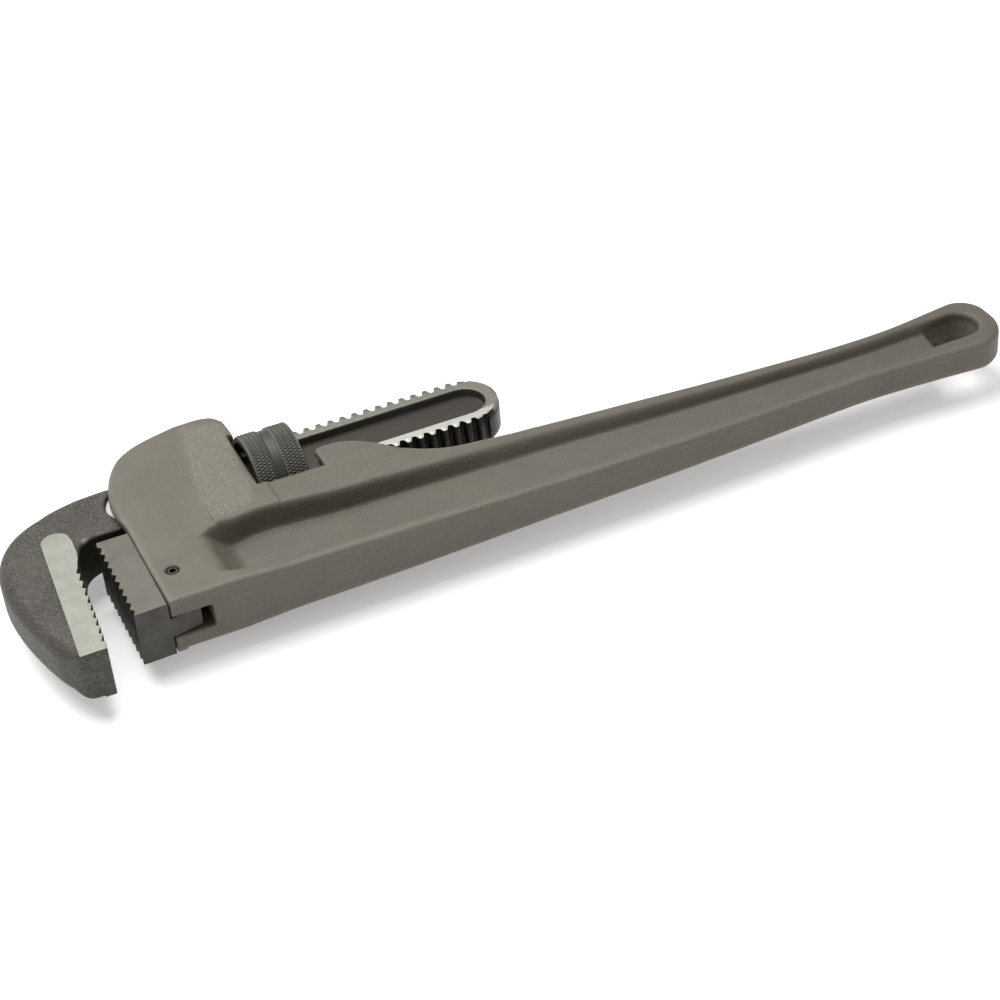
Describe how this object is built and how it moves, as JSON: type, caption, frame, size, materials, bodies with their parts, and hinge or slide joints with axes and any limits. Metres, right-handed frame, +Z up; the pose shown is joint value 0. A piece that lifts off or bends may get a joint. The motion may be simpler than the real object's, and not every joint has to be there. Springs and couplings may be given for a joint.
{
  "type": "pipe wrench",
  "caption": "Straight pipe wrench with an aluminium handle, a sliding and rocking toothed hook jaw, a knurled adjusting nut and a fixed toothed heel jaw.",
  "frame": {"origin": "centre of the bounding box in plan, at its lowest point, with the wrench lying on its side", "axes": "+X towards the tail of the handle, +Y towards the back of the hook jaw, +Z up, through the wrench's thickness"},
  "size_m": [0.4442, 0.1309, 0.0416],
  "materials": {
    "cast_aluminium": "matt grey, sand-cast grain",
    "forged_steel": "dark forged oxide, ground on the toothed face",
    "ground_steel": "ground, satin",
    "blackened_steel": "black oxide",
    "spring_steel": "oiled, dark"
  },
  "bodies": {
    "handle": {"handle_casting": "cast_aluminium", "heel_jaw": "ground_steel", "heel_jaw_pin": "blackened_steel", "flat_spring_rivet": "ground_steel", "coil_spring": "spring_steel"},
    "rocker": {"flat_spring": "spring_steel"},
    "hook": {"hook_jaw": "forged_steel"},
    "nut": {"adjusting_nut": "blackened_steel"}
  },
  "joints": [
    {"name": "jaw_rock", "type": "hinge", "parent": "handle", "child": "rocker", "pos_m": [-0.113, 0.04035, 0.0208], "axis": [0, 0, 1], "range_deg": [-1.1, 2.5], "stiffness_Nm_per_rad": 40, "deforming": ["coil_spring"]},
    {"name": "hook_slide", "type": "slide", "parent": "rocker", "child": "hook", "axis": [1, 0, 0], "range_m": [-0.056, 0.004]},
    {"name": "nut_spin", "type": "hinge", "parent": "rocker", "child": "nut", "pos_m": [-0.09805, 0.0234, 0.0208], "axis": [1, 0, 0], "range_deg": [-270, 3660]}
  ],
  "couplings": [
    {"joint": "nut_spin", "follows": "hook_slide", "rad_per_m": -1136.2}
  ]
}
